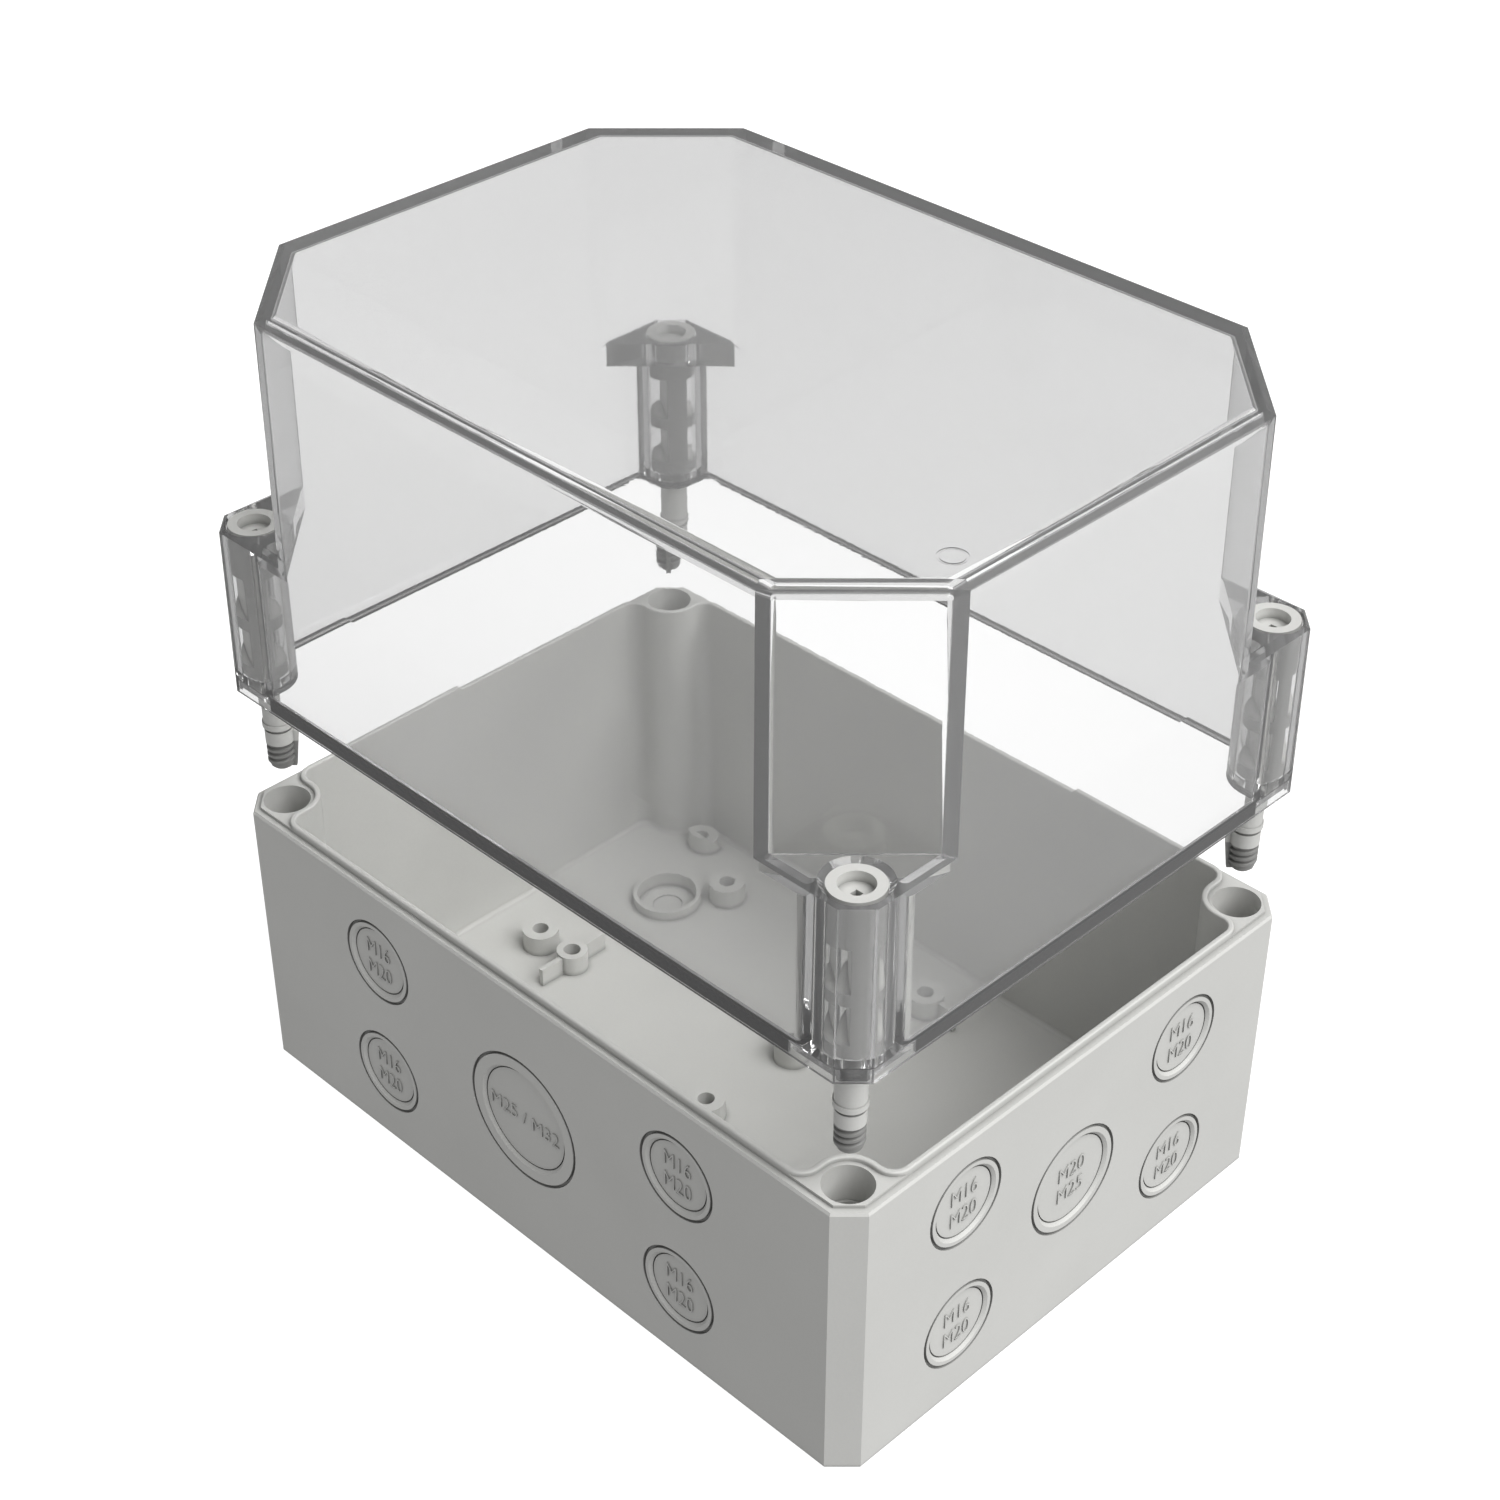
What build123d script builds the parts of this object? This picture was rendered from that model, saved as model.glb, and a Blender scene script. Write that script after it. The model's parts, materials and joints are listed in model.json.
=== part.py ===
from build123d import *

import os
from math import atan2, degrees, radians, sqrt, tan

# A wall box for electrical fittings, moulded in polycarbonate: a grey base, a deep clear lid
# standing off it, the rim seal in the lid and the four long screws that the lid keeps.
# Sizes are in millimetres. The origin is the middle of the back face, +Z leads to the lid
# and the long side lies along X.

# Outline shared by the base and the lid
box_length = 180.0
box_width = 130.0
corner_chamfer = 5.0
shell_wall = 2.8
screw_inset = 7.4
column_radius = 7.15

# Base shell
base_floor = 2.2
rim_height = 67.8
rim_edge_width = 0.36
rim_edge_height = 0.56
base_foot_round = 0.8
floor_round = 1.0
column_blend = 3.0

# Lip and corner seats that stand up from the rim
lip_thickness = 1.2
lip_height = 1.7
lip_round = 0.4
seat_height = 0.7

# Screw holes in the base columns
seat_bore_radius = 5.03
seat_bore_depth = 8.8
screw_bore_radius = 4.5
screw_bore_depth = 24.5

# Fixing bosses on the floor
boss_radius = 4.3
boss_height = 5.1
boss_hole_radius = 1.9
boss_hole_depth = 4.9
corner_boss_x = 69.2
corner_boss_y = 54.2
inner_boss_x = 50.3
inner_boss_y = 43.1
end_boss_x = 70.0
ribbed_boss_x = 58.9
ribbed_boss_radius = 3.65
ribbed_boss_hole_radius = 2.0
middle_boss_y = 13.6
side_boss_x = 10.0
side_boss_y = 46.0
boss_rib_length = 9.8
boss_rib_thickness = 1.2
boss_rib_drop = 0.5

# Cups round the wall-fixing points
cup_x = 60.1
cup_y = 32.6
cup_radius = 8.1
cup_wall = 1.0
cup_height = 2.5
cup_floor = 0.9
cup_centre_radius = 3.55
cup_centre_step = 0.3

# Knockouts: one metric size inside the next, centre disc and outer ring. The lower row is
# placed from the back face, and the others by how far they lie below the rim
m16_disc_radius = 7.9
m20_disc_radius = 10.1
m25_disc_radius = 12.0
m20_ring_radius = 9.35
m25_ring_radius = 11.9
m32_ring_radius = 15.1
knockout_groove = 0.7
knockout_groove_depth = 0.8
knockout_skin = 0.5
knockout_fit = 0.05
disc_recess = 0.65
disc_groove = 0.3
disc_groove_depth = 0.5
ring_bevel = 0.6
side_knockout_x = 45.0
side_knockout_low = 19.2
side_knockout_drop = 18.2
side_knockout_middle_drop = 33.1
end_knockout_y = 32.9
end_knockout_low = 19.35
end_knockout_drop = 16.2
end_knockout_middle_drop = 32.6

# Lid shell. Its side walls are thicker than the walls across its four cut corners
lid_lift = 31.1
lid_height = 91.5
lid_side_wall = 4.2
lid_corner_wall = 2.6
lid_top_wall = 2.7
lid_draft_angle = 0.6
lid_top_bevel_width = 1.6
lid_top_bevel_height = 0.9
lid_inside_round = 1.4
lid_top_inside_round = 1.3
gate_mark_x = 81.3
gate_mark_y = -35.7
gate_mark_radius = 2.7
gate_mark_width = 0.5
gate_mark_depth = 0.2

# Corner towers of the lid, which hold the screws
tower_height = 38.9
tower_leg = 25.05
tower_bevel_width = 1.85
tower_bevel_height = 1.0
tower_plate = 4.7
tower_column_blend = 1.5
tower_bore_radius = 5.65
tower_mouth_radius = 6.7
tower_mouth_depth = 1.1
tower_web = 4.6
tower_web_hole_radius = 3.6
seat_clearance = 0.05

# Rim seal, an L section that follows the lip
seal_depth = 2.8
seal_edge = 0.95
seal_lip_gap = 0.15
seal_side_gap = 0.1
seal_fit = 0.05
seal_foot_gap = 0.1

# Lid screws, measured from the foot of the barrel up and down
barrel_radius = 5.32
barrel_length = 33.7
drive_bore_radius = 3.375
drive_bore_depth = 2.2
drive_square = 1.6
drive_square_depth = 2.0
window_web = 4.1
window_turn = 149.0
lower_window_start = 2.9
lower_window_end = 11.5
upper_window_start = 14.2
upper_window_end = 23.8
shank_radius = 3.05
shank_length = 14.0
bulge_radius = 3.3
bulge_length = 1.2
neck_radius = 2.6
neck_length = 0.8
collar_radius = 3.0
collar_length = 3.2
thread_core_radius = 2.45
thread_length = 6.4
thread_end_bevel = 0.5
wing_start = 16.7
wing_length = 9.0
wing_reach = 4.2
wing_tip_reach = 3.1
wing_thickness = 1.0

# Places worked out from the sizes above
lid_foot = rim_height + lid_lift
lip_inset = shell_wall - lip_thickness
screw_x = box_length / 2 - screw_inset
screw_y = box_width / 2 - screw_inset
corner_names = {
    "front_left": (-1, -1),
    "front_right": (1, -1),
    "back_left": (-1, 1),
    "back_right": (1, 1),
}
on_wall = 0.001
from_top = (Align.CENTER, Align.CENTER, Align.MAX)
from_foot = (Align.CENTER, Align.CENTER, Align.MIN)


def mirrored(x, y):
    """The four places that mirror one place about both middle planes of the box."""
    return [(side_x * x, side_y * y) for side_x, side_y in corner_names.values()]


def outline(inset=0.0):
    """Outline of the box with its chamfered corners, drawn in by the inset on every side."""
    plain = Rectangle(box_length - 2 * inset, box_width - 2 * inset)
    return chamfer(plain.vertices(), corner_chamfer - inset * (2 - sqrt(2)))


def hollow_profile(wall, blend):
    """Inside outline of base or lid, which steps in round the four screw columns."""
    half_x = box_length / 2 - wall
    half_y = box_width / 2 - wall
    profile = Rectangle(2 * half_x, 2 * half_y)
    column_reach = screw_inset + column_radius
    column = fillet(Rectangle(2 * column_reach, 2 * column_reach).vertices(), column_radius)
    for x, y in mirrored(box_length / 2, box_width / 2):
        profile -= Pos(x, y) * column
    on_walls = [
        corner
        for corner in profile.vertices()
        if half_x - abs(corner.X) < on_wall or half_y - abs(corner.Y) < on_wall
    ]
    return fillet(on_walls, blend)


def raised(face, bottom, top):
    """A flat outline extruded from one height to another."""
    return Pos(0, 0, bottom) * extrude(face, top - bottom)


def bored_post(radius, height, hole_radius, hole_depth):
    """A round boss with a blind hole from its top, standing on the plane z = 0."""
    post = Cylinder(radius, height, align=from_foot)
    return post - Pos(0, 0, height) * Cylinder(hole_radius, hole_depth, align=from_top)


def floor_bosses():
    """Bosses on the floor, with the thin ribs that brace two kinds of them."""
    plain = bored_post(boss_radius, boss_height, boss_hole_radius, boss_hole_depth)
    ribbed = bored_post(
        ribbed_boss_radius, boss_height, ribbed_boss_hole_radius, boss_hole_depth
    )
    rib = Box(
        boss_rib_length, boss_rib_thickness, boss_height - boss_rib_drop,
        align=(Align.MIN, Align.CENTER, Align.MIN),
    )
    open_bore = Cylinder(ribbed_boss_hole_radius, boss_height, align=from_foot)
    spots = mirrored(corner_boss_x, corner_boss_y) + mirrored(inner_boss_x, inner_boss_y)
    spots += [(-end_boss_x, 0), (end_boss_x, 0), (0, -middle_boss_y), (0, middle_boss_y)]
    bosses = [Pos(x, y, base_floor) * plain for x, y in spots]
    for x in (-ribbed_boss_x, ribbed_boss_x):
        ribs = Rot(0, 0, 90) * rib + Rot(0, 0, -90) * rib
        bosses.append(Pos(x, 0, base_floor) * (ribbed + (ribs - open_bore)))
    side_boss = plain + (rib - open_bore)
    bosses.append(Pos(side_boss_x, side_boss_y, base_floor) * side_boss)
    return bosses


def fixing_cup():
    """Walled cup round a wall-fixing point, with the material that its floor leaves."""
    return Pos(0, 0, base_floor) * Cylinder(cup_radius, cup_height, align=from_foot)


def fixing_cup_hollow():
    """The space inside a cup: it goes below the box floor to a thin web with a round step."""
    well = Pos(0, 0, cup_floor) * Cylinder(
        cup_radius - cup_wall, base_floor + cup_height, align=from_foot
    )
    step = Pos(0, 0, cup_floor - cup_centre_step) * Cylinder(
        cup_centre_radius, cup_centre_step, align=from_foot
    )
    return well + step


def knockout_pocket(ring_radius):
    """Stepped round pocket in a wall face, in which a knockout lies, cut from z = 0 down."""
    depth = shell_wall - knockout_skin
    groove = Cylinder(ring_radius + knockout_groove, knockout_groove_depth, align=from_top)
    return groove + Cylinder(ring_radius + knockout_fit, depth, align=from_top)


def knockout_ring(ring_radius, disc_radius):
    """Outer ring of a knockout, with a bevelled mouth down to the groove round its disc."""
    depth = shell_wall - knockout_skin
    groove_floor = disc_recess + disc_groove_depth
    section = make_face(
        Polyline(
            (ring_radius, 0),
            (ring_radius, -depth),
            (disc_radius - disc_groove + knockout_fit, -depth),
            (disc_radius - disc_groove + knockout_fit, -groove_floor),
            (disc_radius, -groove_floor),
            (disc_radius, -ring_bevel),
            (disc_radius + ring_bevel, 0),
            close=True,
        )
    )
    return revolve(Plane.XZ * section, Axis.Z)


def knockout_disc(disc_radius):
    """Centre disc of a knockout, set a little below the wall face."""
    thickness = shell_wall - knockout_skin - disc_recess
    return Pos(0, 0, -disc_recess) * Cylinder(
        disc_radius - disc_groove, thickness, align=from_top
    )


def knockout_places():
    """Every knockout as its name, the plane of its wall and its two radii."""
    small = (m20_ring_radius, m16_disc_radius)
    side_heights = (rim_height - side_knockout_drop, side_knockout_low)
    side_spots = [(side * side_knockout_x, height, small)
                  for height in side_heights for side in (-1, 1)]
    side_middle = rim_height - side_knockout_middle_drop
    side_spots.insert(2, (0, side_middle, (m32_ring_radius, m25_disc_radius)))
    end_heights = (rim_height - end_knockout_drop, end_knockout_low)
    end_spots = [(side * end_knockout_y, height, small)
                 for height in end_heights for side in (-1, 1)]
    end_middle = rim_height - end_knockout_middle_drop
    end_spots.insert(2, (0, end_middle, (m25_ring_radius, m20_disc_radius)))
    places = []
    for wall, facing in (("front", -1), ("back", 1)):
        for number, (along, height, radii) in enumerate(side_spots, start=1):
            spot = (along, facing * box_width / 2, height)
            plane = Plane(origin=spot, x_dir=(1, 0, 0), z_dir=(0, facing, 0))
            places.append((f"{wall}_knockout_{number}", plane, radii))
    for wall, facing in (("left", -1), ("right", 1)):
        for number, (along, height, radii) in enumerate(end_spots, start=1):
            spot = (facing * box_length / 2, along, height)
            plane = Plane(origin=spot, x_dir=(0, 1, 0), z_dir=(facing, 0, 0))
            places.append((f"{wall}_knockout_{number}", plane, radii))
    return places


def base_shell():
    """Grey base: shell, rim with lip and seats, screw columns, floor bosses and pockets."""
    rim_edge = rim_height - rim_edge_height
    body = raised(outline(), 0, rim_edge)
    body = fillet(body.edges().group_by(Axis.Z)[0], base_foot_round)
    body += loft(
        [Pos(0, 0, rim_edge) * outline(), Pos(0, 0, rim_height) * outline(rim_edge_width)],
        ruled=True,
    )
    body += raised(outline(lip_inset), rim_height, rim_height + seat_height)

    hollow = hollow_profile(shell_wall, column_blend)
    lip_face = offset(hollow, lip_thickness)
    body += raised(lip_face, rim_height, rim_height + lip_height)
    room = raised(hollow, base_floor, rim_height + lip_height)
    body -= fillet(room.edges().group_by(Axis.Z)[0], floor_round)
    body = fillet(body.edges().group_by(Axis.Z)[-1], lip_round)

    seat = rim_height + seat_height
    for x, y in mirrored(screw_x, screw_y):
        body -= Pos(x, y, seat) * Cylinder(seat_bore_radius, seat_bore_depth, align=from_top)
        body -= Pos(x, y, seat) * Cylinder(screw_bore_radius, screw_bore_depth, align=from_top)
    for boss in floor_bosses():
        body += boss
    for x, y in mirrored(cup_x, cup_y):
        body += Pos(x, y) * fixing_cup()
        body -= Pos(x, y) * fixing_cup_hollow()
    for _, plane, (ring_radius, _) in knockout_places():
        body -= plane.location * knockout_pocket(ring_radius)
    return body


def drafted_inset(height):
    """How far the lid's outer walls lean in at a height above the lid's foot."""
    return height * tan(radians(lid_draft_angle))


def leaning_block(outer_extra, wall, corner_wall, bottom, top):
    """A block with the lid's draft whose four corners are cut off at 45 degrees.

    The two walls are how far its sides and its corner faces lie inside the lid's outer
    faces, and outer_extra is how far its sides are carried past them.
    """
    sections = []
    for height in (bottom, top):
        lean = drafted_inset(height) + wall
        corner_lean = drafted_inset(height - tower_height) + corner_wall
        corner_leg = tower_leg + corner_lean * sqrt(2) - 2 * lean + 2 * outer_extra
        plain = Rectangle(
            box_length + 2 * (outer_extra - lean), box_width + 2 * (outer_extra - lean)
        )
        sections.append(Pos(0, 0, height) * chamfer(plain.vertices(), corner_leg))
    return loft(sections, ruled=True)


def drafted_outline(height, extra_inset=0.0):
    """The lid's outline at a height above its foot."""
    return Pos(0, 0, height) * outline(drafted_inset(height) + extra_inset)


def lid_body():
    """Solid outer form of the lid: drafted block, cut back above the four corner towers."""
    block = loft([drafted_outline(0), drafted_outline(lid_height)], ruled=True)
    tower_edge = tower_height - tower_bevel_height
    skirt = block & raised(Rectangle(2 * box_length, 2 * box_width), 0, tower_edge)
    crown = loft(
        [drafted_outline(tower_edge), drafted_outline(tower_height, tower_bevel_width)],
        ruled=True,
    )
    top_edge = lid_height - lid_top_bevel_height
    clear_of_walls = 2 * shell_wall
    dome = block & leaning_block(clear_of_walls, 0, 0, tower_edge, top_edge)
    top_lean = drafted_inset(top_edge)
    corner_lean = drafted_inset(top_edge - tower_height)
    top_leg = tower_leg + corner_lean * sqrt(2) - 2 * top_lean
    bevel_leg = top_leg - lid_top_bevel_width * (2 - sqrt(2))
    low = Rectangle(box_length - 2 * top_lean, box_width - 2 * top_lean)
    top_inset = top_lean + lid_top_bevel_width
    high = Rectangle(box_length - 2 * top_inset, box_width - 2 * top_inset)
    bevel = loft(
        [
            Pos(0, 0, top_edge) * chamfer(low.vertices(), top_leg),
            Pos(0, 0, lid_height) * chamfer(high.vertices(), bevel_leg),
        ],
        ruled=True,
    )
    return skirt + crown + dome + bevel


def lid_hollow():
    """The space inside the lid: eight-sided dome, and below the tower plates the skirt."""
    plate_underside = tower_height - tower_plate
    dome_wall = lid_side_wall - drafted_inset(plate_underside)
    dome_top = lid_height - lid_top_wall
    dome = leaning_block(0, dome_wall, lid_corner_wall, plate_underside, dome_top)
    upright = [edge for edge in dome.edges() if edge.bounding_box().size.Z > tower_plate]
    dome = fillet(upright, lid_inside_round)
    dome = fillet(dome.edges().group_by(Axis.Z)[-1], lid_top_inside_round)
    skirt = hollow_profile(lid_side_wall, tower_column_blend)
    return dome + raised(skirt, 0, plate_underside)


def seal_groove():
    """Rebate at the lid's foot for the rim seal, which leaves the corner islands standing."""
    island = outline(lip_inset - seal_side_gap)
    island -= offset(
        hollow_profile(shell_wall, tower_column_blend),
        lip_thickness + seal_side_gap + seal_fit,
    )
    return raised(outline(seal_edge) - island, 0, seal_depth) + raised(
        outline(seal_edge), 0, seat_height + seat_clearance
    )


def clear_lid():
    """Clear lid: thin shell, corner towers bored for the screws, and the seal rebate."""
    lid = lid_body() - lid_hollow()
    lid -= seal_groove()
    mouth = Cone(
        tower_bore_radius, tower_mouth_radius, tower_mouth_depth, align=from_top
    )
    for x, y in mirrored(screw_x, screw_y):
        lid -= Pos(x, y, tower_web) * Cylinder(
            tower_bore_radius, tower_height - tower_web, align=from_foot
        )
        lid -= Pos(x, y, tower_height) * mouth
        lid -= Pos(x, y) * Cylinder(tower_web_hole_radius, tower_web, align=from_foot)
    mark = Circle(gate_mark_radius) - Circle(gate_mark_radius - gate_mark_width)
    lid -= Pos(gate_mark_x, gate_mark_y) * raised(
        mark, lid_height - gate_mark_depth, lid_height
    )
    return Pos(0, 0, lid_foot) * lid


def lid_seal():
    """Rim seal: a foot that meets the rim outside the lip, and a strip above the lip."""
    hollow = hollow_profile(shell_wall, tower_column_blend)
    foot = outline(seal_edge) - outline(lip_inset - seal_side_gap)
    strip = offset(hollow, lip_thickness + seal_side_gap) - hollow
    seal = raised(foot, seal_foot_gap, seal_depth)
    seal += raised(strip, lip_height + seal_lip_gap, seal_depth)
    return Pos(0, 0, lid_foot) * seal


def screw_body():
    """Turned outline of a lid screw from its thread up to its head, foot of barrel at z = 0."""
    bulge_top = -shank_length
    neck_top = bulge_top - bulge_length
    collar_top = neck_top - neck_length
    thread_top = collar_top - collar_length
    tip = thread_top - thread_length
    section = make_face(
        Polyline(
            (0, barrel_length),
            (barrel_radius, barrel_length),
            (barrel_radius, 0),
            (shank_radius, 0),
            (shank_radius, bulge_top),
            (bulge_radius, bulge_top),
            (bulge_radius, neck_top),
            (neck_radius, neck_top),
            (neck_radius, collar_top),
            (collar_radius, collar_top),
            (collar_radius, thread_top),
            (thread_core_radius, thread_top),
            (thread_core_radius, tip + thread_end_bevel),
            (thread_core_radius - thread_end_bevel, tip),
            (0, tip),
            close=True,
        )
    )
    return revolve(Plane.XZ * section, Axis.Z)


def barrel_windows():
    """Coring pockets on both sides of the barrel, which leave a web across its middle."""
    pocket_depth = barrel_radius - window_web / 2
    pockets = []
    for start, end in (
        (lower_window_start, lower_window_end),
        (upper_window_start, upper_window_end),
    ):
        for side in (-1, 1):
            middle = side * (window_web / 2 + pocket_depth / 2)
            pocket = Box(2 * barrel_radius, pocket_depth, end - start, align=from_foot)
            pockets.append(Pos(0, middle, start) * pocket)
    return pockets


def captive_wing():
    """Thin plate beside the thread, too wide for the lid's web, that keeps the screw in."""
    plate = make_face(
        Polyline(
            (0, -wing_start),
            (wing_reach, -wing_start),
            (wing_tip_reach, -wing_start - wing_length),
            (0, -wing_start - wing_length),
            close=True,
        )
    )
    return Pos(0, wing_thickness / 2, 0) * extrude(Plane.XZ * plate, wing_thickness)


def lid_screw(side_x, side_y):
    """One captive lid screw in its corner, with its wing towards the middle of the box."""
    screw = screw_body()
    for pocket in barrel_windows():
        screw -= Rot(0, 0, window_turn) * pocket
    screw -= Pos(0, 0, barrel_length) * Cylinder(
        drive_bore_radius, drive_bore_depth, align=from_top
    )
    screw -= Pos(0, 0, barrel_length - drive_bore_depth) * Box(
        drive_square, drive_square, drive_square_depth, align=from_top
    )
    inward = degrees(atan2(-side_y, -side_x))
    screw += Rot(0, 0, inward) * captive_wing()
    return Pos(side_x * screw_x, side_y * screw_y, lid_foot + tower_web) * screw


def write_piece(name, shape):
    """Writes one piece under its name, and prints its volume in cubic centimetres."""
    export_step(shape, os.path.join("parts", f"{name}.step"))
    print(f"{name}: {len(shape.solids())} solid, {shape.volume / 1000:.2f} cm3")


os.makedirs("parts", exist_ok=True)
write_piece("base_shell", base_shell())
for knockout_name, wall_plane, (outer, inner) in knockout_places():
    write_piece(f"{knockout_name}_ring", wall_plane.location * knockout_ring(outer, inner))
    write_piece(f"{knockout_name}_disc", wall_plane.location * knockout_disc(inner))
write_piece("clear_lid", clear_lid())
write_piece("lid_seal", lid_seal())
for corner_name, (corner_x, corner_y) in corner_names.items():
    write_piece(f"lid_screw_{corner_name}", lid_screw(corner_x, corner_y))
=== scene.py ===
"""A grey wall box for electrical fittings, with its deep clear lid lifted off the base.

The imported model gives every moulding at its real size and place. This script dresses it:
finishes for the grey base, the clear lid, the rim seal and the four captive screws, the raised
size marks on the knockouts, the screw threads, and the floor, light and camera of a plain
product photograph.
"""

import json
import logging
import math
from dataclasses import dataclass, field
from enum import Enum

import bpy
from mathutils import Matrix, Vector

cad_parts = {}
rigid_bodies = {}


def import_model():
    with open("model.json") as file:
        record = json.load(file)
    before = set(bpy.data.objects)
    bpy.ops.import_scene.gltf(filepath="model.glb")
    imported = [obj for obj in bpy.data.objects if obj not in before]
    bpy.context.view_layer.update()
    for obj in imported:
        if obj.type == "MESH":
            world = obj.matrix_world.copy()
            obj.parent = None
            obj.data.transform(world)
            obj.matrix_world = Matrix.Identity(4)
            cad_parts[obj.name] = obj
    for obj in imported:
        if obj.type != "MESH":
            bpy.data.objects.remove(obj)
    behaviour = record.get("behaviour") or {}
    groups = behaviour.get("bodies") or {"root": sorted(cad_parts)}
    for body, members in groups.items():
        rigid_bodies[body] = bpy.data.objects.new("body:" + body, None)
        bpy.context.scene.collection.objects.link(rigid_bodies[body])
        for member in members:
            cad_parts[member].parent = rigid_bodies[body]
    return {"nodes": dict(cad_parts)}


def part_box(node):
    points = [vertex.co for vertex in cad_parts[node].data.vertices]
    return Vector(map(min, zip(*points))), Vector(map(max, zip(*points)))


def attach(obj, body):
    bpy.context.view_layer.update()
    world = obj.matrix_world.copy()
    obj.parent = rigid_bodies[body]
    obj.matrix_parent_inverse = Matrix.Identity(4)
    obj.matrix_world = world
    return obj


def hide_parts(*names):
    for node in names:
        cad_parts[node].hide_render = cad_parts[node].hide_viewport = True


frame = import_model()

MM = 0.001
WELD = 1e-6
log = logging.getLogger("wall_box")

Shaded = bpy.types.Material | bpy.types.World
Socket = bpy.types.NodeSocket


class Corner(Enum):
    """The four corners of the box, as node and body names have them."""

    FRONT_LEFT = "front_left"
    FRONT_RIGHT = "front_right"
    BACK_LEFT = "back_left"
    BACK_RIGHT = "back_right"


class Wall(Enum):
    """The four walls of the base: turn about Z, in degrees, of a mark that faces outwards."""

    FRONT = 0.0
    RIGHT = 90.0
    BACK = 180.0
    LEFT = 270.0

    @property
    def title(self) -> str:
        """Gives the wall's name.

        Returns:
            The name as node names have it.
        """
        return self.name.lower()

    @property
    def is_side(self) -> bool:
        """Tells the long walls from the short ones.

        Returns:
            True for the two long walls.
        """
        return self in (Wall.FRONT, Wall.BACK)

    @property
    def outward(self) -> Vector:
        """Gives the way that the wall faces.

        Returns:
            A direction of length one.
        """
        turn = math.radians(self.value)
        return Vector((math.sin(turn), -math.cos(turn), 0))


def linear(code: str) -> tuple[float, float, float, float]:
    """Turns an sRGB hex colour into linear light, by the standard's two-part curve.

    Args:
        code: Six hex digits, red first.

    Returns:
        Linear red, green and blue, and an alpha of one.
    """
    parts = [int(code[i : i + 2], 16) / 255 for i in (0, 2, 4)]
    light = [p / 12.92 if p <= 0.04045 else ((p + 0.055) / 1.055) ** 2.4 for p in parts]
    return (*light, 1.0)


def add_node(
    material: Shaded,
    kind: str,
    settings: dict | None = None,
    values: dict | None = None,
    links: dict | None = None,
) -> bpy.types.Node:
    """Adds one node to a material, sets it up and wires what feeds it.

    Args:
        material: The material or world whose tree gets the node.
        kind: The node's type name.
        settings: Properties of the node by name.
        values: Input values by socket name or number.
        links: The sockets that feed its inputs, by socket name or number.

    Returns:
        The new node.
    """
    tree = material.node_tree
    node = tree.nodes.new(kind)
    for name, value in (settings or {}).items():
        setattr(node, name, value)
    for name, value in (values or {}).items():
        node.inputs[name].default_value = value
    for name, socket in (links or {}).items():
        tree.links.new(socket, node.inputs[name])
    return node


def new_material(name: str) -> bpy.types.Material:
    """Makes an empty node material.

    Args:
        name: The material's name.

    Returns:
        The material, with no nodes in its tree.
    """
    material = bpy.data.materials.new(name)
    material.use_nodes = True
    material.node_tree.nodes.clear()
    return material


def object_place(material: bpy.types.Material) -> Socket:
    """Gives the coordinates that every pattern lies in, which move with the object.

    Args:
        material: The material being made.

    Returns:
        The socket of Object coordinates, in metres.
    """
    return add_node(material, "ShaderNodeTexCoord").outputs["Object"]


def noise(
    material: bpy.types.Material,
    place: Socket,
    size: float,
    detail: float,
    roughness: float = 0.5,
) -> Socket:
    """Adds a noise pattern.

    Args:
        material: The material being made.
        place: The socket of Object coordinates.
        size: Width of one grain in metres.
        detail: Octaves of finer noise.
        roughness: Strength of the finer noise.

    Returns:
        The pattern's socket.
    """
    pattern = add_node(
        material,
        "ShaderNodeTexNoise",
        values={"Scale": 1 / size, "Detail": detail, "Roughness": roughness},
        links={"Vector": place},
    )
    return pattern.outputs["Fac"]


def two_tone(
    material: bpy.types.Material,
    mix: Socket,
    dark: str,
    light: str,
    span: tuple[float, float] = (0.0, 1.0),
) -> Socket:
    """Blends two colours by a pattern.

    Args:
        material: The material being made.
        mix: The pattern's socket.
        dark: Hex colour where the pattern is low.
        light: Hex colour where it is high.
        span: The part of the pattern's range that the blend takes up.

    Returns:
        The colour's socket.
    """
    ramp = add_node(material, "ShaderNodeValToRGB", links={"Fac": mix})
    for stop, (position, code) in enumerate(zip(span, (dark, light))):
        ramp.color_ramp.elements[stop].position = position
        ramp.color_ramp.elements[stop].color = linear(code)
    return ramp.outputs["Color"]


def darken(material: bpy.types.Material, colour: Socket, share: Socket) -> Socket:
    """Takes a share of a colour.

    Args:
        material: The material being made.
        colour: The colour's socket.
        share: The socket of the share that is kept.

    Returns:
        The socket of the darker colour.
    """
    scaled = add_node(
        material,
        "ShaderNodeVectorMath",
        {"operation": "SCALE"},
        links={0: colour, "Scale": share},
    )
    return scaled.outputs["Vector"]


def raised(
    material: bpy.types.Material, pattern: Socket, height: float, strength: float
) -> Socket:
    """Makes a pattern stand out from the surface.

    Args:
        material: The material being made.
        pattern: The pattern's socket.
        height: How far the pattern's highest parts stand up, in metres.
        strength: Share of the bump that shows.

    Returns:
        The socket of the bent normal.
    """
    bump = add_node(
        material,
        "ShaderNodeBump",
        values={"Strength": strength, "Distance": height},
        links={"Height": pattern},
    )
    return bump.outputs["Normal"]


def put_out(material: bpy.types.Material, shader: Socket) -> bpy.types.Material:
    """Ends a material with its output node.

    Args:
        material: The material being made.
        shader: The socket of the finished surface.

    Returns:
        The material.
    """
    add_node(material, "ShaderNodeOutputMaterial", links={"Surface": shader})
    return material


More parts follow.
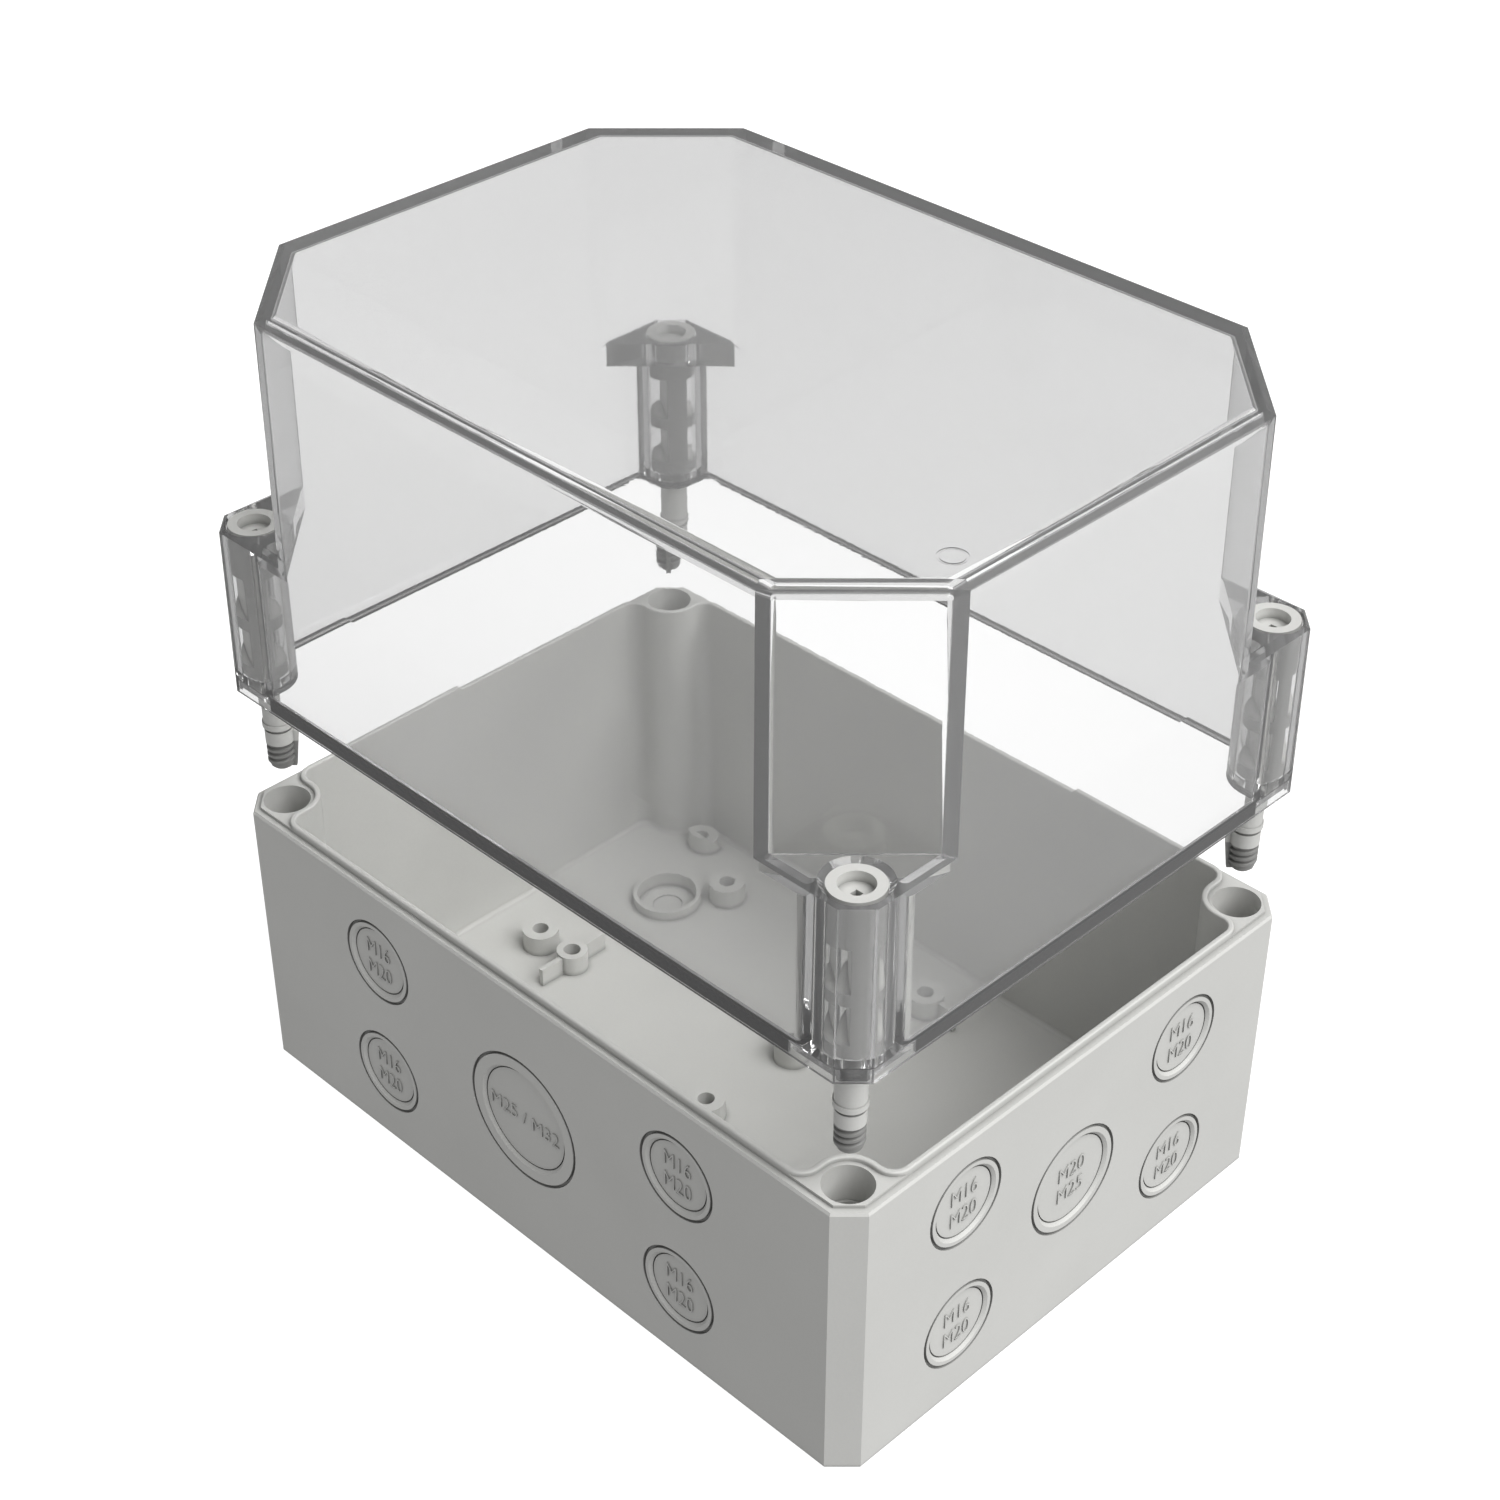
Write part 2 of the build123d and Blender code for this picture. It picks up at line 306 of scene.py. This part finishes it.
@dataclass(frozen=True)
class MouldedPolycarbonate:
    """Opaque plastic from a spark-eroded mould: satin, with a faint even grain.

    The mould's grain breaks up highlights, and slow flow of the melt leaves the faintest
    mottling. The real grain is about 0.05 mm; it is drawn several times coarser, or no picture
    would show it. Narrow grooves and the feet of raised marks get painted shade: their colour
    is darker where the surface is shut in.
    """

    name: str
    light: str
    dark: str
    roughness: float
    roughness_swing: float = 0.06
    ior: float = 1.58
    specular: float = 0.4
    colour_span: tuple[float, float] = (0.3, 0.7)
    mottle_size: float = 28.0 * MM
    mottle_detail: float = 3.0
    mottle_share: float = 0.65
    grain_size: float = 0.55 * MM
    grain_detail: float = 2.0
    grain_sharpness: float = 0.6
    grain_height: float = 0.018 * MM
    grain_strength: float = 0.6
    crevice_shade_reach: float = 1.6 * MM
    crevice_shade_share: float = 0.45
    crevice_shade_span: tuple[float, float] = (0.3, 0.95)
    crevice_shade_rays: int = 8

    def make(self) -> bpy.types.Material:
        """Builds the material from fine grain, slow mottling and painted shade in crevices.

        Returns:
            The material.
        """
        material = new_material(self.name)
        place = object_place(material)
        mottle = noise(material, place, self.mottle_size, self.mottle_detail)
        grain = noise(
            material, place, self.grain_size, self.grain_detail, self.grain_sharpness
        )
        grain_part = add_node(
            material,
            "ShaderNodeMath",
            {"operation": "MULTIPLY"},
            {1: 1 - self.mottle_share},
            {0: grain},
        )
        both = add_node(
            material,
            "ShaderNodeMath",
            {"operation": "MULTIPLY_ADD"},
            {1: self.mottle_share},
            {0: mottle, 2: grain_part.outputs[0]},
        )
        mottled = two_tone(
            material, both.outputs[0], self.dark, self.light, self.colour_span
        )
        # painted shade goes in here: the screws' nylon is darker below the top of its thread
        with_painted_shade = self.paint_shade(material, place, mottled)
        satin = add_node(
            material,
            "ShaderNodeMapRange",
            values={
                "To Min": self.roughness - self.roughness_swing,
                "To Max": self.roughness + self.roughness_swing,
            },
            links={"Value": grain},
        )
        shader = add_node(
            material,
            "ShaderNodeBsdfPrincipled",
            values={"IOR": self.ior, "Specular IOR Level": self.specular},
            links={
                # painted shade: the colour is darkened in grooves and at the feet of raised
                # marks
                "Base Color": darken(material, with_painted_shade, self.painted_crevice_shade(material)),
                "Roughness": satin.outputs["Result"],
                "Normal": raised(material, grain, self.grain_height, self.grain_strength),
            },
        )
        return put_out(material, shader.outputs["BSDF"])

    def painted_crevice_shade(self, material: bpy.types.Material) -> Socket:
        """Paints shade into grooves and the feet of raised marks, by how shut in the surface
        is.

        Args:
            material: The material being made.

        Returns:
            The socket of the share of its colour that a place keeps.
        """
        openness = add_node(
            material,
            "ShaderNodeAmbientOcclusion",
            {"samples": self.crevice_shade_rays},
            {"Distance": self.crevice_shade_reach},
        )
        shut, clear = self.crevice_shade_span
        share = add_node(
            material,
            "ShaderNodeMapRange",
            values={"From Min": shut, "From Max": clear, "To Min": self.crevice_shade_share},
            links={"Value": openness.outputs["AO"]},
        )
        return share.outputs["Result"]

    def paint_shade(self, material: bpy.types.Material, place: Socket, colour: Socket) -> Socket:
        """Gives the plastic's own colour, which is even all over, with no painted shade added.

        Args:
            material: The material being made.
            place: The socket of Object coordinates.
            colour: The socket of the mottled colour.

        Returns:
            The colour's socket.
        """
        return colour


@dataclass(frozen=True)
class TwoToneNylon(MouldedPolycarbonate):
    """Glass-filled nylon of the lid screws: pale, with painted shade over the threaded end."""

    thread_shade_share: float = 0.42
    thread_top: float = 0.0
    edge: float = 0.15 * MM

    def paint_shade(self, material: bpy.types.Material, place: Socket, colour: Socket) -> Socket:
        """Paints shade over the thread: the colour is darker below the top of the thread.

        Args:
            material: The material being made.
            place: The socket of Object coordinates.
            colour: The socket of the mottled colour.

        Returns:
            The colour's socket.
        """
        height = add_node(material, "ShaderNodeSeparateXYZ", links={"Vector": place})
        share = add_node(
            material,
            "ShaderNodeMapRange",
            values={
                "From Min": self.thread_top - self.edge,
                "From Max": self.thread_top + self.edge,
                "To Min": self.thread_shade_share,
            },
            links={"Value": height.outputs["Z"]},
        )
        return darken(material, colour, share.outputs["Result"])


@dataclass(frozen=True)
class ClearPolycarbonate:
    """Clear polycarbonate from a polished mould: glassy, with a slight smoky haze.

    Polished steel leaves the surface bright, and the thick edges bend the dark surroundings
    into grey bands. The surface's grain is so shallow that things behind the lid stay sharp.
    """

    name: str
    tint: str
    haze: float = 0.085
    roughness: float = 0.012
    ior: float = 1.5
    grain_size: float = 0.5 * MM
    grain_detail: float = 1.0
    grain_height: float = 0.001 * MM
    grain_strength: float = 0.5

    def make(self) -> bpy.types.Material:
        """Builds the material as refracting plastic with a faint surface grain.

        Returns:
            The material.
        """
        material = new_material(self.name)
        grain = noise(
            material, object_place(material), self.grain_size, self.grain_detail
        )
        shader = add_node(
            material,
            "ShaderNodeBsdfPrincipled",
            values={
                "Base Color": linear(self.tint),
                "Roughness": self.roughness,
                "IOR": self.ior,
                "Transmission Weight": 1.0 - self.haze,
            },
            links={
                "Normal": raised(material, grain, self.grain_height, self.grain_strength)
            },
        )
        return put_out(material, shader.outputs["BSDF"])


@dataclass(frozen=True)
class FoamedSeal:
    """Foamed polyurethane seal, poured into the lid's groove: dark, matt and finely porous."""

    name: str
    light: str
    dark: str
    roughness: float = 0.8
    pore_size: float = 0.5 * MM
    pore_depth: float = 0.05 * MM
    pore_strength: float = 0.5

    def make(self) -> bpy.types.Material:
        """Builds the material from cell-like pores.

        Returns:
            The material.
        """
        material = new_material(self.name)
        cells = add_node(
            material,
            "ShaderNodeTexVoronoi",
            values={"Scale": 1 / self.pore_size},
            links={"Vector": object_place(material)},
        )
        pores = cells.outputs["Distance"]
        shader = add_node(
            material,
            "ShaderNodeBsdfPrincipled",
            values={"Roughness": self.roughness},
            links={
                "Base Color": two_tone(material, pores, self.dark, self.light),
                "Normal": raised(material, pores, self.pore_depth, self.pore_strength),
            },
        )
        return put_out(material, shader.outputs["BSDF"])


def light_or_dim(tree: Shaded, full: float, dim: float) -> Socket:
    """Gives the brightness of the studio, which is dimmer where something glossy mirrors it.

    The photograph was lit by soft boxes between black screens: matt surfaces gather the light
    of the boxes, while the polished lid mostly mirrors the screens.

    Args:
        tree: The world or material that shows the studio.
        full: Brightness for light that reaches a surface or the eye.
        dim: Brightness seen by way of a mirroring surface.

    Returns:
        The socket with the brightness.
    """
    path = add_node(tree, "ShaderNodeLightPath")
    mirrored = add_node(
        tree,
        "ShaderNodeMath",
        {"operation": "GREATER_THAN"},
        {1: 0.5},
        {0: path.outputs["Glossy Depth"]},
    )
    brightness = add_node(
        tree,
        "ShaderNodeMath",
        {"operation": "MULTIPLY_ADD"},
        {1: dim - full, 2: full},
        {0: mirrored.outputs[0]},
    )
    return brightness.outputs[0]


@dataclass(frozen=True)
class PaleFloor:
    """White studio paper lit from below, with the faintest unevenness of its pulp."""

    name: str = "white_studio_paper"
    light: str = "8C8C8C"
    dark: str = "888888"
    pulp_size: float = 0.25
    pulp_detail: float = 2.0
    glow: float = 0.98
    dim_glow: float = 0.22

    def make(self) -> bpy.types.Material:
        """Builds the material of the floor.

        Returns:
            The material.
        """
        material = new_material(self.name)
        pulp = noise(material, object_place(material), self.pulp_size, self.pulp_detail)
        paper = add_node(
            material,
            "ShaderNodeBsdfDiffuse",
            links={"Color": two_tone(material, pulp, self.dark, self.light)},
        )
        lit = add_node(
            material,
            "ShaderNodeEmission",
            links={"Strength": light_or_dim(material, self.glow, self.dim_glow)},
        )
        both = add_node(
            material,
            "ShaderNodeAddShader",
            links={0: paper.outputs["BSDF"], 1: lit.outputs["Emission"]},
        )
        return put_out(material, both.outputs["Shader"])


def dress(piece: bpy.types.Object, material: bpy.types.Material) -> None:
    """Gives a piece one material.

    Args:
        piece: A mesh object.
        material: The finish that it gets.
    """
    if not piece.material_slots:
        piece.data.materials.append(material)
    for slot in piece.material_slots:
        slot.link = "OBJECT"
        slot.material = material


def deselect_all() -> None:
    """Leaves nothing selected, so that an operator acts on a new piece only."""
    for piece in bpy.context.view_layer.objects:
        piece.select_set(False)


def pick(piece: bpy.types.Object) -> None:
    """Makes one piece the only one selected, and the active one.

    Args:
        piece: The piece that the next operators act on.
    """
    deselect_all()
    bpy.context.view_layer.objects.active = piece
    piece.select_set(True)


def settle(piece: bpy.types.Object) -> None:
    """Puts a piece's place, turn and scale into its mesh.

    Args:
        piece: The piece, which ends at the origin.
    """
    pick(piece)
    bpy.ops.object.transform_apply(location=True, rotation=True, scale=True)


def link_to_scene(name: str, data: bpy.types.ID) -> bpy.types.Object:
    """Puts a mesh, a light or a camera into the scene as a new object.

    Args:
        name: The new object's name.
        data: What the object shows.

    Returns:
        The object, at the origin.
    """
    piece = bpy.data.objects.new(name, data)
    bpy.context.scene.collection.objects.link(piece)
    return piece


def welded_copy(node: str, name: str) -> bpy.types.Object:
    """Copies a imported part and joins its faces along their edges.

    Args:
        node: The part's node name.
        name: The copy's name.

    Returns:
        The copy, picked and still open for editing.
    """
    piece = link_to_scene(name, frame["nodes"][node].data.copy())
    pick(piece)
    bpy.ops.object.mode_set(mode="EDIT")
    bpy.ops.mesh.select_all(action="SELECT")
    bpy.ops.mesh.remove_doubles(threshold=WELD)
    return piece


@dataclass
class Studio:
    """Floor, light and camera of the photograph."""

    floor_size: float = 12.0
    key_direction: tuple[float, float, float] = (0.585, 0.15, 0.72)
    key_strength: float = 1.1
    key_angle: float = 50.0
    sky: str = "FFFFFF"
    sky_strength: float = 0.42
    screen_strength: float = 0.25
    backdrop_strength: float = 1.1
    camera_place: tuple[float, float, float] = (0.32513, -0.32515, 0.41970)
    camera_turn: tuple[float, float, float] = (54.684, 0.0, 45.0)
    camera_lens: float = 66.40
    camera_sensor: float = 36.0
    camera_clip: tuple[float, float] = (0.01, 50.0)
    exposure: float = 0.0
    scrim_tone: str = "D9D9D9"

    def lay_floor(self) -> None:
        """Lays the pale floor under the box."""
        deselect_all()
        bpy.ops.mesh.primitive_plane_add(size=self.floor_size)
        floor = bpy.context.active_object
        floor.name = "studio_floor"
        floor.visible_diffuse = False
        dress(floor, PaleFloor().make())

    def hang_scrim(self) -> None:
        """Hangs a net in the lid's own shape, which gives the soft shade that clear walls cast.

        The lid's plastic itself is left out of the shadows, or it would cast them like a solid.
        Only the lights see the net.
        """
        scrim = welded_copy("clear_lid", "studio_scrim")
        bpy.ops.object.mode_set(mode="OBJECT")
        net = new_material("black_studio_net")
        gauze = add_node(
            net, "ShaderNodeBsdfTransparent", values={"Color": linear(self.scrim_tone)}
        )
        dress(scrim, put_out(net, gauze.outputs["BSDF"]))
        for sight in ("camera", "diffuse", "glossy", "transmission"):
            setattr(scrim, f"visible_{sight}", False)

    def hang_key(self) -> None:
        """Hangs one very soft key light, to the right of the camera and above."""
        lamp = bpy.data.lights.new("key_softbox", "SUN")
        lamp.energy = self.key_strength * math.pi
        lamp.angle = math.radians(self.key_angle)
        key = link_to_scene("key_softbox", lamp)
        key.rotation_euler = Vector(self.key_direction).to_track_quat("Z", "Y").to_euler()

    def fill_sky(self) -> None:
        """Fills the rest with an even sky, which is white behind the box."""
        world = bpy.data.worlds.new("even_sky")
        world.use_nodes = True
        bpy.context.scene.world = world
        world.node_tree.nodes.clear()
        brightness = light_or_dim(world, self.sky_strength, self.screen_strength)
        path = add_node(world, "ShaderNodeLightPath")
        backdrop = add_node(
            world,
            "ShaderNodeMath",
            {"operation": "MULTIPLY_ADD"},
            {1: self.backdrop_strength - self.sky_strength},
            {0: path.outputs["Is Camera Ray"], 2: brightness},
        )
        glow = add_node(
            world,
            "ShaderNodeBackground",
            values={"Color": linear(self.sky)},
            links={"Strength": backdrop.outputs[0]},
        )
        add_node(
            world, "ShaderNodeOutputWorld", links={"Surface": glow.outputs["Background"]}
        )

    def set_camera(self) -> None:
        """Sets the camera at the photograph's place and angle."""
        lens = bpy.data.cameras.new("product_view")
        lens.lens = self.camera_lens
        lens.sensor_width = self.camera_sensor
        lens.clip_start, lens.clip_end = self.camera_clip
        camera = link_to_scene("product_view", lens)
        camera.location = self.camera_place
        camera.rotation_euler = [math.radians(angle) for angle in self.camera_turn]
        bpy.context.scene.camera = camera

    def build(self) -> None:
        """Builds the whole studio."""
        self.set_camera()
        self.lay_floor()
        self.hang_scrim()
        self.hang_key()
        self.fill_sky()
        view = bpy.context.scene.view_settings
        view.view_transform = "Standard"
        view.look = "None"
        view.exposure = self.exposure
        log.info("studio: floor, key light, sky and camera")


@dataclass
class SizeMark:
    """Raised moulded letters that give a knockout's metric sizes."""

    lines: tuple[str, ...]
    width: float
    cap_height: float = 3.35 * MM
    line_step: float = 5.85 * MM
    relief: float = 0.28 * MM
    sunk: float = 0.05 * MM
    thinning: float = -0.022
    curve_steps: int = 3
    half_depth: float = 0.5

    def build(
        self, name: str, wall: Wall, disc_middle: Vector, disc_face: float
    ) -> bpy.types.Object:
        """Models the mark and seats it on its disc.

        Args:
            name: The new piece's name.
            wall: The wall that the knockout is in.
            disc_middle: The middle of the disc's box.
            disc_face: How far the disc's outer face lies from the box's middle plane.

        Returns:
            The mark as one mesh piece.
        """
        letters = self.write_letters()
        letters.name = name
        letters.rotation_euler = (math.radians(90), 0, math.radians(wall.value))
        in_plane = disc_middle - wall.outward * disc_middle.dot(wall.outward)
        letters.location = in_plane + wall.outward * disc_face
        settle(letters)
        return letters

    def write_letters(self) -> bpy.types.Object:
        """Writes the lines flat about the origin, at their moulded size.

        Returns:
            The letters, facing up, with their feet a little below zero.
        """
        deselect_all()
        bpy.ops.object.text_add(location=(0, 0, 0))
        letters = bpy.context.active_object
        letters.data.body = "\n".join(self.lines)
        letters.data.align_x = "CENTER"
        letters.data.size = 1.0
        letters.data.resolution_u = self.curve_steps
        letters.data.extrude = self.half_depth
        letters.data.offset = self.thinning
        bpy.context.view_layer.update()
        written_width = letters.dimensions.x
        bpy.ops.object.convert(target="MESH")
        across = [vertex.co.x for vertex in letters.data.vertices]
        along = [vertex.co.y for vertex in letters.data.vertices]
        block = (len(self.lines) - 1) * self.line_step + self.cap_height
        stretch_x = self.width / written_width
        stretch_y = block / (max(along) - min(along))
        stretch_z = (self.relief + self.sunk) / (2 * self.half_depth)
        middle_x = (min(across) + max(across)) / 2
        middle_y = (min(along) + max(along)) / 2
        for vertex in letters.data.vertices:
            vertex.co.x = (vertex.co.x - middle_x) * stretch_x
            vertex.co.y = (vertex.co.y - middle_y) * stretch_y
            vertex.co.z = (vertex.co.z + self.half_depth) * stretch_z - self.sunk
        return letters


@dataclass
class GreyBase:
    """The grey base with its twenty knockouts, and the size marks raised on them."""

    finish: MouldedPolycarbonate = MouldedPolycarbonate(
        "light_grey_polycarbonate_spark_eroded",
        light="C7C7C4",
        dark="C1C1BE",
        roughness=0.5,
    )
    small_mark: SizeMark = field(default_factory=lambda: SizeMark(("M16", "M20"), 7.2 * MM))
    end_mark: SizeMark = field(default_factory=lambda: SizeMark(("M20", "M25"), 7.6 * MM))
    side_mark: SizeMark = field(default_factory=lambda: SizeMark(("M25 / M32",), 20.4 * MM))
    middle_knockout: int = 3
    knockouts: int = 5

    def mark_for(self, wall: Wall, number: int) -> SizeMark:
        """Picks a knockout's mark.

        Args:
            wall: The wall that the knockout is in.
            number: The knockout's number in its wall, from 1.

        Returns:
            The mark.
        """
        if number != self.middle_knockout:
            return self.small_mark
        return self.side_mark if wall.is_side else self.end_mark

    def raise_mark(self, wall: Wall, number: int, grey: bpy.types.Material) -> None:
        """Raises the size mark on one knockout.

        Args:
            wall: The wall that the knockout is in.
            number: The knockout's number in its wall, from 1.
            grey: The base's material.
        """
        low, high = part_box(f"{wall.title}_knockout_{number}_disc")
        face = {
            Wall.FRONT: -low.y,
            Wall.RIGHT: high.x,
            Wall.BACK: high.y,
            Wall.LEFT: -low.x,
        }[wall]
        name = f"{wall.title}_knockout_{number}_size_mark"
        mark = self.mark_for(wall, number).build(name, wall, (low + high) / 2, face)
        dress(mark, grey)
        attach(mark, "base")
        log.info("%s: raised size mark", name)

    def build(self) -> None:
        """Dresses the mouldings and raises the marks."""
        grey = self.finish.make()
        for node, piece in frame["nodes"].items():
            if node == "base_shell" or "_knockout_" in node:
                dress(piece, grey)
        log.info("base_shell: moulded grey, with its rings and discs")
        for wall in Wall:
            for number in range(1, self.knockouts + 1):
                self.raise_mark(wall, number, grey)


@dataclass
class ClearLid:
    """The clear lid."""

    finish: ClearPolycarbonate = ClearPolycarbonate(
        "clear_polycarbonate_polished", tint="EEEEEE"
    )

    def build(self) -> None:
        """Dresses the lid, which lets the studio light through."""
        lid = frame["nodes"]["clear_lid"]
        dress(lid, self.finish.make())
        lid.visible_shadow = False
        log.info("clear_lid: polished clear finish")


@dataclass
class LidSeal:
    """The foamed seal in the lid's foot, which passes inside the four screw towers."""

    finish: FoamedSeal = FoamedSeal(
        "dark_grey_foamed_polyurethane", light="5E5E5E", dark="4A4A4A"
    )
    bead_inset: float = 1.5 * MM
    tower_reach: float = 16.05 * MM
    bead_slack: float = 0.01 * MM
    end_slack: float = 0.001 * MM
    smooth_angle: float = 30.0

    def build(self) -> None:
        """Foams the seal: the moulded section, without its outer bead outside the towers."""
        _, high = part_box("clear_lid")
        bead = (high.x - self.bead_inset, high.y - self.bead_inset)
        end = (high.x - self.tower_reach, high.y - self.tower_reach)
        seal = welded_copy("lid_seal", "lid_seal_foam")
        self.score(bead, end)
        self.drop_corner_beads(seal, bead, end)
        self.close_cuts()
        dress(seal, self.finish.make())
        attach(seal, "lid")
        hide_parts("lid_seal")
        log.info("lid_seal_foam: seal with its corners inside the towers")

    def score(self, bead: tuple[float, float], end: tuple[float, float]) -> None:
        """Scores the seal that is open for editing along its bead and across it at the towers.

        Args:
            bead: Where the bead starts, from the middle, along X and along Y.
            end: Where the towers start, from the middle, along X and along Y.
        """
        for axis, across in enumerate((Vector((1, 0, 0)), Vector((0, 1, 0)))):
            for reach in (bead[axis], end[axis]):
                for side in (-1, 1):
                    bpy.ops.mesh.select_all(action="SELECT")
                    bpy.ops.mesh.bisect(plane_co=across * reach * side, plane_no=across)
        bpy.ops.mesh.select_mode(type="FACE")
        bpy.ops.mesh.select_all(action="DESELECT")
        bpy.ops.object.mode_set(mode="OBJECT")

    def drop_corner_beads(
        self, seal: bpy.types.Object, bead: tuple[float, float], end: tuple[float, float]
    ) -> None:
        """Takes away the bead's faces beside the towers.

        Args:
            seal: The scored seal.
            bead: Where the bead starts, from the middle, along X and along Y.
            end: Where the towers start, from the middle, along X and along Y.
        """
        bead_x, bead_y = (reach - self.bead_slack for reach in bead)
        end_x, end_y = (reach - self.end_slack for reach in end)
        for face in seal.data.polygons:
            across, along = abs(face.center.x), abs(face.center.y)
            outside = across > bead_x or along > bead_y
            face.select = outside and across > end_x and along > end_y
        bpy.ops.object.mode_set(mode="EDIT")
        bpy.ops.mesh.delete(type="FACE")

    def close_cuts(self) -> None:
        """Closes the cuts of the seal that is open for editing, and shades it smooth."""
        bpy.ops.mesh.select_mode(type="EDGE")
        bpy.ops.mesh.select_all(action="DESELECT")
        bpy.ops.mesh.select_non_manifold()
        bpy.ops.mesh.fill_holes(sides=0)
        bpy.ops.mesh.select_all(action="SELECT")
        bpy.ops.mesh.normals_make_consistent(inside=False)
        bpy.ops.object.mode_set(mode="OBJECT")
        bpy.ops.object.shade_smooth_by_angle(angle=math.radians(self.smooth_angle))


@dataclass
class LidScrew:
    """One captive screw: its finish, and the moulded thread that its core carries."""

    corner: Corner
    core_radius: float = 2.45 * MM
    crest_radius: float = 2.95 * MM
    pitch: float = 1.45 * MM
    turns: int = 4
    ridge_root: float = 1.15 * MM
    ridge_crest: float = 0.55 * MM
    sunk: float = 0.1 * MM
    run_out: float = 0.25
    tip_gap: float = 0.35 * MM
    steps: int = 48
    end_weld: float = 1e-7
    smooth_angle: float = 35.0

    @property
    def root(self) -> float:
        """Gives where the ridge starts, a little inside the core.

        Returns:
            The radius of the ridge's foot.
        """
        return self.core_radius - self.sunk

    @property
    def first_height(self) -> float:
        """Gives where the winding starts.

        Returns:
            Height of the ridge's middle line above the screw's tip.
        """
        return self.tip_gap + self.ridge_root / 2

    def build(self, finish: bpy.types.Material) -> None:
        """Dresses the screw and winds its thread.

        Args:
            finish: The screws' material.
        """
        node = f"lid_screw_{self.corner.value}"
        dress(frame["nodes"][node], finish)
        low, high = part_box(node)
        thread = self.draw_section(f"{node}_thread")
        self.wind(thread)
        self.taper_ends(thread)
        self.close_ends()
        thread.location = ((low.x + high.x) / 2, (low.y + high.y) / 2, low.z)
        settle(thread)
        dress(thread, finish)
        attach(thread, f"screw_{self.corner.value}")
        log.info("%s: thread of %d turns", node, self.turns)

    def draw_section(self, name: str) -> bpy.types.Object:
        """Draws the outline of the ridge, a trapezoid that stands beside the Z axis.

        Args:
            name: The new piece's name.

        Returns:
            The outline.
        """
        deselect_all()
        bpy.ops.mesh.primitive_plane_add(size=1.0)
        ridge = bpy.context.active_object
        ridge.name = name
        for vertex in ridge.data.vertices:
            at_crest = vertex.co.x > 0
            width = self.ridge_crest if at_crest else self.ridge_root
            side = 1 if vertex.co.y > 0 else -1
            reach = self.crest_radius if at_crest else self.root
            vertex.co = (reach, 0, self.first_height + side * width / 2)
        bpy.ops.object.mode_set(mode="EDIT")
        bpy.ops.mesh.select_all(action="SELECT")
        bpy.ops.mesh.delete(type="ONLY_FACE")
        bpy.ops.object.mode_set(mode="OBJECT")
        return ridge

    def wind(self, ridge: bpy.types.Object) -> None:
        """Winds the outline round the Z axis.

        Args:
            ridge: The picked outline, which becomes an open ridge.
        """
        winding = ridge.modifiers.new("winding", "SCREW")
        winding.axis = "Z"
        winding.angle = math.tau
        winding.screw_offset = self.pitch
        winding.iterations = self.turns
        winding.steps = self.steps
        winding.render_steps = self.steps
        winding.use_smooth_shade = False
        bpy.ops.object.modifier_apply(modifier="winding")

    def taper_ends(self, ridge: bpy.types.Object) -> None:
        """Draws both ends of the ridge down into the core, as a moulded thread runs out.

        Args:
            ridge: The wound ridge, still about the Z axis.
        """
        for vertex in ridge.data.vertices:
            spot = vertex.co
            reach = math.hypot(spot.x, spot.y)
            part_turn = math.atan2(spot.y, spot.x) % math.tau / math.tau
            height_turns = (spot.z - self.first_height) / self.pitch
            wound = round(height_turns - part_turn) + part_turn
            into = min(wound, self.turns - wound) / self.run_out
            share = max(0.0, min(1.0, into))
            kept = self.root + (reach - self.root) * share
            spot.x *= kept / reach
            spot.y *= kept / reach

    def close_ends(self) -> None:
        """Closes both ends of the picked ridge, and shades it smooth."""
        bpy.ops.object.mode_set(mode="EDIT")
        bpy.ops.mesh.select_mode(type="VERT")
        bpy.ops.mesh.select_all(action="DESELECT")
        bpy.ops.mesh.select_non_manifold()
        bpy.ops.mesh.edge_face_add()
        bpy.ops.mesh.select_all(action="SELECT")
        bpy.ops.mesh.remove_doubles(threshold=self.end_weld)
        bpy.ops.mesh.normals_make_consistent(inside=False)
        bpy.ops.object.mode_set(mode="OBJECT")
        bpy.ops.object.shade_smooth_by_angle(angle=math.radians(self.smooth_angle))


@dataclass
class LidScrews:
    """The four captive screws of the lid."""

    thread_length: float = 6.4 * MM

    def build(self) -> None:
        """Dresses all four screws and winds their threads."""
        low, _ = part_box("lid_screw_front_right")
        # The screws' finish paints shade over the threaded end, below the thread's top.
        pale = TwoToneNylon(
            "pale_grey_glass_filled_nylon",
            light="C9C9C6",
            dark="C3C3C0",
            roughness=0.42,
            thread_top=low.z + self.thread_length,
        ).make()
        for corner in Corner:
            LidScrew(corner).build(pale)


def main() -> None:
    """Builds the studio and every sub-assembly in order."""
    logging.basicConfig(level=logging.INFO, format="%(name)s: %(message)s")
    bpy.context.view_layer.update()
    Studio().build()
    GreyBase().build()
    ClearLid().build()
    LidSeal().build()
    LidScrews().build()


if __name__ == "__main__":
    main()
